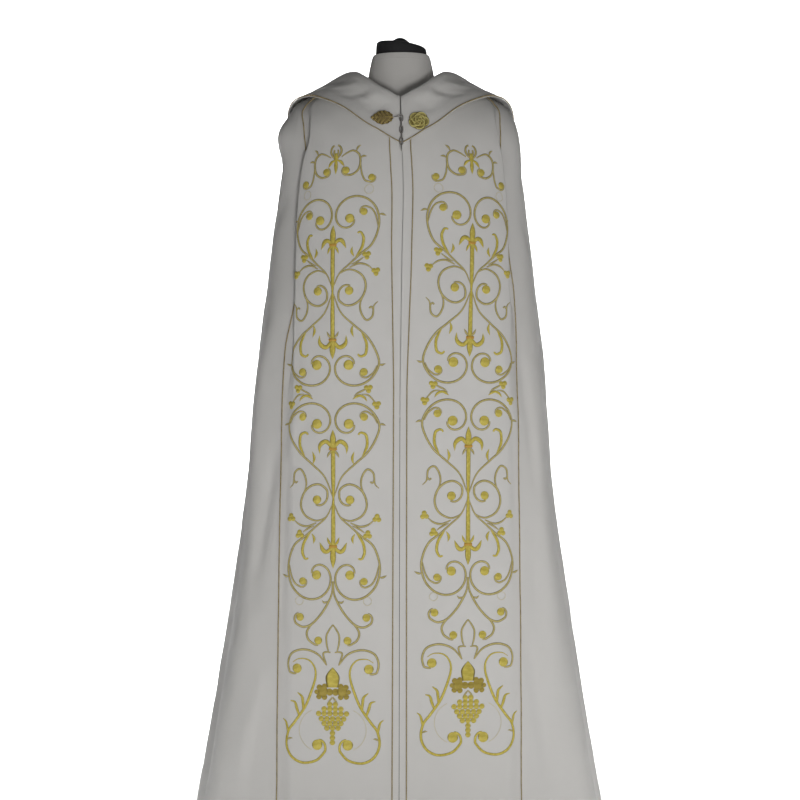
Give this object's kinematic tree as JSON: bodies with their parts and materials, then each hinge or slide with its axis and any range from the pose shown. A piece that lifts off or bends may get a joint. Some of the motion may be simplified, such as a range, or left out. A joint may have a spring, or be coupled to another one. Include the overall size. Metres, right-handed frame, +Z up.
{
  "type": "cope vestment on limbless dress form",
  "caption": "Ivory cope with gold-piped front panels, shield hood and metal clasp with hanging chain, open down the front, standing on a limbless dress form.",
  "frame": {"origin": "centre of the stand base's flat underside, on the floor", "axes": "+Z up; the open front with its orphreys and clasp faces -Y; +X is to the right of someone facing the front"},
  "size_m": [0.8374, 0.4771, 1.6268],
  "materials": {
    "ivory_cloth": "matte",
    "gold_piping": "satin",
    "gold_metal": "satin",
    "chain_metal": "satin",
    "form_cover": "matte",
    "form_cap": "matte",
    "stand_paint": "satin"
  },
  "bodies": {
    "garment": {"front_strip_left": "ivory_cloth", "orphrey_left": "ivory_cloth", "body_left": "ivory_cloth", "hood_left": "ivory_cloth", "piping_inner_left": "gold_piping", "piping_outer_left": "gold_piping", "piping_hood_left": "gold_piping", "front_strip_right": "ivory_cloth", "orphrey_right": "ivory_cloth", "body_right": "ivory_cloth", "hood_right": "ivory_cloth", "piping_inner_right": "gold_piping", "piping_outer_right": "gold_piping", "piping_hood_right": "gold_piping", "clasp_leaf": "gold_metal", "clasp_rose": "gold_metal", "clasp_eye": "chain_metal", "form_torso": "form_cover", "form_cap": "form_cap", "stand_pole": "stand_paint", "stand_base": "stand_paint"},
    "chain": {"chain_link_1": "chain_metal", "chain_link_2": "chain_metal", "chain_link_3": "chain_metal", "chain_link_4": "chain_metal", "chain_link_5": "chain_metal"}
  },
  "joints": [
    {"name": "chain_swing", "type": "hinge", "parent": "garment", "child": "chain", "pos_m": [0.00276, -0.144, 1.43833], "axis": [0, -0.9703, 0.2419], "range_deg": [-35, 30]}
  ]
}
